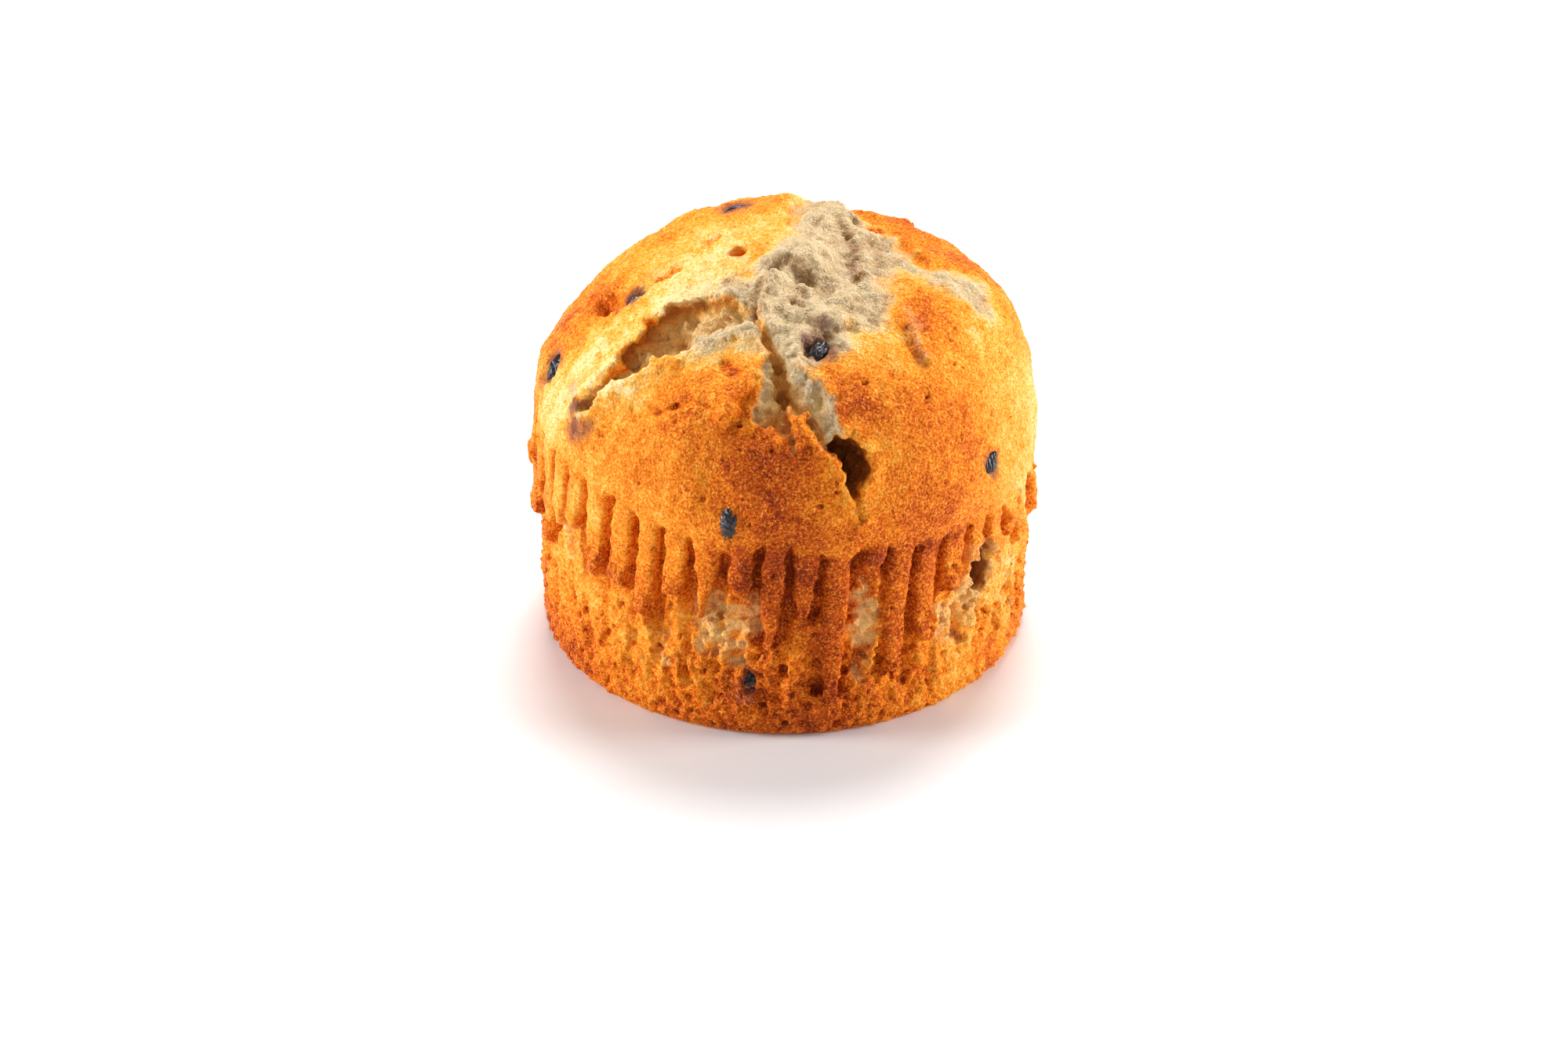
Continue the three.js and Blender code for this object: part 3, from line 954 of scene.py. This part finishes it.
# %% [markdown]
# ## Marking the mesh
# The material needs to know where there is crumb, how brown the crust is, where juice ran, and
# where shade is painted into the colour: deep in the tears and holes, in dents and creases, in the
# grooves and in pits. Those numbers are stored on the points as attributes. They were worked out in
# the same step as the shape, so colour and relief can't slip apart. A decimation then brings the
# mesh to a size that any renderer can take, and it carries the attributes along.

# %% Attributes and decimation
TRIANGLES = 196000

# Painted shade: where the relief sinks into a pit, the colour is darkened.
known["pit_shade"] = np.clip(-relief - 0.12, 0, 0.8) / 0.8
for name in ("crumb", "bake", "juice", "painted_depth_shade", "painted_dent_shade", "pit_shade", "groove_shade", "side"):
    attribute = body.attributes.new(name, "FLOAT", "POINT")
    attribute.data.foreach_set("value", known[name].astype(np.float32))
triangles_now = sum(len(face.vertices) - 2 for face in body.polygons)
body = with_modifier(body, "DECIMATE", ratio=TRIANGLES / triangles_now,
                     use_collapse_triangulate=True)
body.transform(Matrix.Scale(MM, 4))
body.shade_smooth()
print("muffin:", len(body.polygons), "triangles")

# %% [markdown]
# ## Crust and crumb
# One material covers the whole muffin, because crust turns into crumb without a seam. The baking
# number picks the crust's colour from pale gold through orange to brown. Crumb is a grey cream,
# warmer where the side was peeled. In the tears and holes it carries painted shade, warmer and then
# darker the deeper it lies, and dark at the bottom of the holes; dents, creases, grooves and pits
# get painted shade too. Over both go grains less than half a millimetre across, as colour and as
# bump, and crumb has larger flakes as well; the lightest grains are painted glints. Light enters
# bread before it comes back, which the subsurface part stands for.

# %% The muffin's material
class Nodes:
    """Short ways to add nodes to one material."""

    def __init__(self, material):
        material.use_nodes = True
        self.tree = material.node_tree
        self.shader = self.tree.nodes["Principled BSDF"]

    def add(self, kind, **settings):
        node = self.tree.nodes.new(kind)
        for name, value in settings.items():
            setattr(node, name, value)
        return node

    def link(self, source, target):
        if isinstance(source, (int, float)):
            target.default_value = source
        elif isinstance(source, tuple):
            target.default_value = (*source, 1.0)
        else:
            self.tree.links.new(source, target)

    def attribute(self, name):
        return self.add("ShaderNodeAttribute", attribute_name=name).outputs["Fac"]

    def math(self, operation, first, second, clamp=False):
        node = self.add("ShaderNodeMath", operation=operation, use_clamp=clamp)
        self.link(first, node.inputs[0])
        self.link(second, node.inputs[1])
        return node.outputs[0]

    def times(self, first, second):
        return self.math("MULTIPLY", first, second)

    def total(self, *parts):
        """The sum of the parts, kept between 0 and 1."""
        sum_so_far, *middle, last = parts
        for part in middle:
            sum_so_far = self.plus(sum_so_far, part)
        return self.math("ADD", sum_so_far, last, clamp=True)

    def plus(self, first, second):
        return self.math("ADD", first, second)

    def noise(self, size_mm, detail=2.0, roughness=0.5, offset=0.0):
        """Noise in object coordinates, from 0 to 1, with lumps of that size."""
        place = self.add("ShaderNodeTexCoord").outputs["Object"]
        shift = self.add("ShaderNodeMapping")
        shift.inputs["Location"].default_value = (offset, offset, offset)
        self.link(place, shift.inputs["Vector"])
        texture = self.add("ShaderNodeTexNoise")
        texture.inputs["Scale"].default_value = 1 / (size_mm * MM)
        texture.inputs["Detail"].default_value = detail
        texture.inputs["Roughness"].default_value = roughness
        self.link(shift.outputs[0], texture.inputs["Vector"])
        return texture.outputs[0]

    def span(self, value, low, high, to_low=0.0, to_high=1.0):
        node = self.add("ShaderNodeMapRange")
        self.link(value, node.inputs["Value"])
        ends = {"From Min": low, "From Max": high, "To Min": to_low, "To Max": to_high}
        for name, number in ends.items():
            node.inputs[name].default_value = number
        return node.outputs[0]

    def mix(self, share, first, second, blend="MIX"):
        node = self.add("ShaderNodeMix", data_type="RGBA", blend_type=blend, clamp_factor=True)
        self.link(share, node.inputs["Factor"])
        self.link(first, node.inputs["A"])
        self.link(second, node.inputs["B"])
        return node.outputs["Result"]

    def bump(self, height, strength, distance_mm):
        node = self.add("ShaderNodeBump")
        node.inputs["Strength"].default_value = strength
        node.inputs["Distance"].default_value = distance_mm * MM
        self.link(height, node.inputs["Height"])
        self.link(node.outputs[0], self.shader.inputs["Normal"])

    def ramp(self, value, stops):
        node = self.add("ShaderNodeValToRGB")
        while len(node.color_ramp.elements) < len(stops):
            node.color_ramp.elements.new(1.0)
        for element, (place, colour) in zip(node.color_ramp.elements, stops):
            element.position = place
            element.color = (*colour, 1.0)
        self.link(value, node.inputs[0])
        return node.outputs[0]


GRAIN_SIZE = 0.42
SPECK_SIZE = 0.85
FLAKE_SIZE = 1.5
MOTTLE_SIZE = 4.0
CRUMB_BUMP = 0.4
CRUST_COLOURS = [  # by how brown it baked
    (0.0, (0.90, 0.68, 0.33)),
    (0.25, (0.90, 0.42, 0.050)),
    (0.5, (0.88, 0.235, 0.006)),
    (0.75, (0.58, 0.088, 0.001)),
    (1.0, (0.22, 0.020, 0.0005)),
]
CRUMB_SHADE = (0.48, 0.26, 0.10)
# Painted shade: the crumb's colour by how deep it lies in a tear or a hole.
DEPTH_SHADE_COLOURS = [  # crumb, by how deep it lies in a tear or a hole
    (0.0, (0.71, 0.535, 0.305)),
    (0.12, (0.92, 0.61, 0.24)),
    (0.35, (0.98, 0.57, 0.16)),
    (0.6, (0.85, 0.38, 0.08)),
    (0.85, (0.48, 0.15, 0.025)),
    (1.0, (0.42, 0.11, 0.018)),
]
# The colour of the painted glints on the crust's grains.
PAINTED_GLINT_COLOUR = (0.97, 0.60, 0.14)
GLINT_COLOUR = (0.97, 0.88, 0.66)
JUICE_COLOUR = (0.17, 0.045, 0.05)
PEELED_COLOUR = (1.0, 0.62, 0.22)


def muffin_material():
    material = bpy.data.materials.new("crust_and_crumb")
    nodes = Nodes(material)
    grain = nodes.noise(GRAIN_SIZE, 2.0, 0.7)
    speck = nodes.noise(SPECK_SIZE, 2.0, 0.5, offset=0.3)
    flakes = nodes.noise(FLAKE_SIZE, 4.0, 0.65, offset=0.5)
    mottle = nodes.noise(MOTTLE_SIZE, 3.0, 0.5, offset=0.7)
    pit_shade = nodes.attribute("pit_shade")
    crumb = nodes.attribute("crumb")
    painted_depth_shade = nodes.attribute("painted_depth_shade")

    bake = nodes.total(
        nodes.attribute("bake"),
        nodes.span(mottle, 0.3, 0.7, -0.05, 0.05),
        nodes.span(grain, 0.3, 0.7, 0.22, -0.22),
        nodes.span(speck, 0.3, 0.7, 0.10, -0.10),
        # Painted shade: the grooves are browner.
        nodes.times(nodes.attribute("groove_shade"), 0.2),
        # Painted shade: pits make the crust browner.
        nodes.times(pit_shade, 0.40),
    )
    crust_colour = nodes.ramp(bake, CRUST_COLOURS)
    # Painted glints: the lightest crust grains are mixed towards pale gold, less so on dark crust.
    crust_glint = nodes.times(nodes.span(grain, 0.56, 0.68), nodes.span(bake, 0.45, 0.9, 0.34, 0.16))
    crust_colour = nodes.mix(crust_glint, crust_colour, PAINTED_GLINT_COLOUR)

    # Painted shade in dents, creases, pits and between the flakes, plus the crumb's own uneven tone
    # from noise, multiplied in as a warm brown.
    shade = nodes.total(
        nodes.times(nodes.attribute("painted_dent_shade"), 0.6),
        nodes.span(mottle, 0.35, 0.65, 0.14, -0.06),
        nodes.span(grain, 0.3, 0.7, 0.20, -0.16),
        nodes.span(flakes, 0.34, 0.50, 0.16, 0.0),
        nodes.times(pit_shade, 0.8),
    )
    # Crumb colour with painted shade by depth, or the peeled colour on the side.
    painted_depth_colour = nodes.ramp(painted_depth_shade, DEPTH_SHADE_COLOURS)
    crumb_colour = nodes.mix(nodes.attribute("side"), painted_depth_colour, PEELED_COLOUR)
    crumb_colour = nodes.mix(shade, crumb_colour, CRUMB_SHADE, "MULTIPLY")
    glint = nodes.times(nodes.span(grain, 0.55, 0.66), 0.38)
    glint = nodes.times(glint, nodes.span(painted_depth_shade, 0.1, 0.6, 1.0, 0.0))
    crumb_colour = nodes.mix(glint, crumb_colour, GLINT_COLOUR)

    colour = nodes.mix(crumb, crust_colour, crumb_colour)
    juice = nodes.times(nodes.attribute("juice"), nodes.span(mottle, 0.25, 0.6, 0.55, 1.0))
    colour = nodes.mix(nodes.times(juice, 0.85), colour, JUICE_COLOUR)
    nodes.link(colour, nodes.shader.inputs["Base Color"])
    nodes.link(nodes.span(grain, 0.3, 0.7, 0.65, 0.36), nodes.shader.inputs["Roughness"])

    bumps = nodes.plus(grain, nodes.times(speck, 0.6))
    bumps = nodes.plus(bumps, nodes.times(crumb, nodes.span(flakes, 0.3, 0.7, 0.0, 1.2)))
    nodes.bump(bumps, 1.0, CRUMB_BUMP)

    nodes.shader.inputs["Specular IOR Level"].default_value = 0.11
    nodes.shader.inputs["Subsurface Weight"].default_value = 0.12
    nodes.shader.inputs["Subsurface Radius"].default_value = (1.0, 0.45, 0.18)
    nodes.shader.inputs["Subsurface Scale"].default_value = 0.5 * MM
    return material


body.materials.clear()
body.materials.append(muffin_material())
muffin = bpy.data.objects.new("baked_muffin", body)
bpy.context.scene.collection.objects.link(muffin)
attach(muffin, "root")
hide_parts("muffin")
print("material with", len(body.materials[0].node_tree.nodes), "nodes")

# %% [markdown]
# ## Berries
# A baked blueberry is a soft skin, wrinkled where it dried. Each one is a ball squashed to its
# three half sizes, crumpled by noise, and turned so that its short way points out of the crust.
# The skin is nearly black with a blue bloom on its high parts, and wet enough to glint.

# %% Build the berries
BLOOM_SIZE = 1.6
SKIN_COLOURS = [  # the bare skin, and the bloom on its high parts
    (0.35, (0.004, 0.002, 0.004)),
    (0.55, (0.012, 0.008, 0.013)),
    (0.75, (0.034, 0.030, 0.042)),
]
WRINKLE_SIZE = 0.8
WRINKLE_BUMP = 0.25
FOLD_WIDTH = 0.12
SEAT_RADIUS = 1.8  # the crust this near to a berry says how high it sits


def crust_frame(place):
    """The point of the sculpted crust at a place on the map, and the ways out and sideways."""
    closest = int(np.argmin(far_from(spot, place)))
    close = np.linalg.norm(plain - plain[closest], axis=1) < SEAT_RADIUS
    base = plain[closest] + (lean[closest], 0, 0)
    base += outward[closest] * float(np.median(crust_out[close]))
    return Vector(base), Vector(outward[closest]), Vector(around[closest])


def berry_material():
    material = bpy.data.materials.new("berry_skin")
    nodes = Nodes(material)
    bloom = nodes.noise(BLOOM_SIZE, 3.0, 0.6)
    nodes.link(nodes.ramp(bloom, SKIN_COLOURS), nodes.shader.inputs["Base Color"])
    nodes.link(nodes.span(bloom, 0.35, 0.7, 0.25, 0.6), nodes.shader.inputs["Roughness"])
    nodes.bump(nodes.noise(WRINKLE_SIZE, 3.0, 0.6, offset=0.2), 0.6, WRINKLE_BUMP)
    nodes.shader.inputs["Coat Weight"].default_value = 0.15
    nodes.shader.inputs["Coat Roughness"].default_value = 0.15
    return material


def crumple(form, number):
    """Crumples a ball and folds its skin inwards along a few lines, each berry in its own way."""
    for vertex in form.verts:
        swell = noise.fractal(vertex.co * 1.3 + Vector((number * 5.1, 0, 0)), 1.0, 2.0, 3)
        fold_gap = abs(noise.noise(vertex.co * 1.8 + Vector((0, number * 3.7, 0))))
        crease = max(0.0, FOLD_WIDTH - fold_gap) / FOLD_WIDTH
        vertex.co *= 1 + 0.16 * swell - 0.2 * crease


berry_skin = berry_material()
for number, (name, sizes) in enumerate(BERRIES.items()):
    place, half_a, half_b, half_c, berry_turn, proud, _, _ = sizes
    base, normal, side = crust_frame(place)
    axes = Matrix((side, normal.cross(side), normal)).transposed().to_4x4()
    form = bmesh.new()
    bmesh.ops.create_icosphere(form, subdivisions=5, radius=1.0)
    crumple(form, number)
    stretch = Matrix.Diagonal((half_a, half_b, half_c, 1))
    spin = Matrix.Rotation(math.radians(berry_turn), 4, "Z")
    seat = Matrix.Translation(base + normal * (proud - half_c))
    placing = Matrix.Scale(MM, 4) @ seat @ axes @ spin @ stretch
    bmesh.ops.transform(form, matrix=placing, verts=form.verts)
    mesh = bpy.data.meshes.new(name)
    form.to_mesh(mesh)
    form.free()
    mesh.shade_smooth()
    mesh.materials.append(berry_skin)
    berry = bpy.data.objects.new(name, mesh)
    bpy.context.scene.collection.objects.link(berry)
    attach(berry, "root")
print(len(BERRIES), "berries seated")
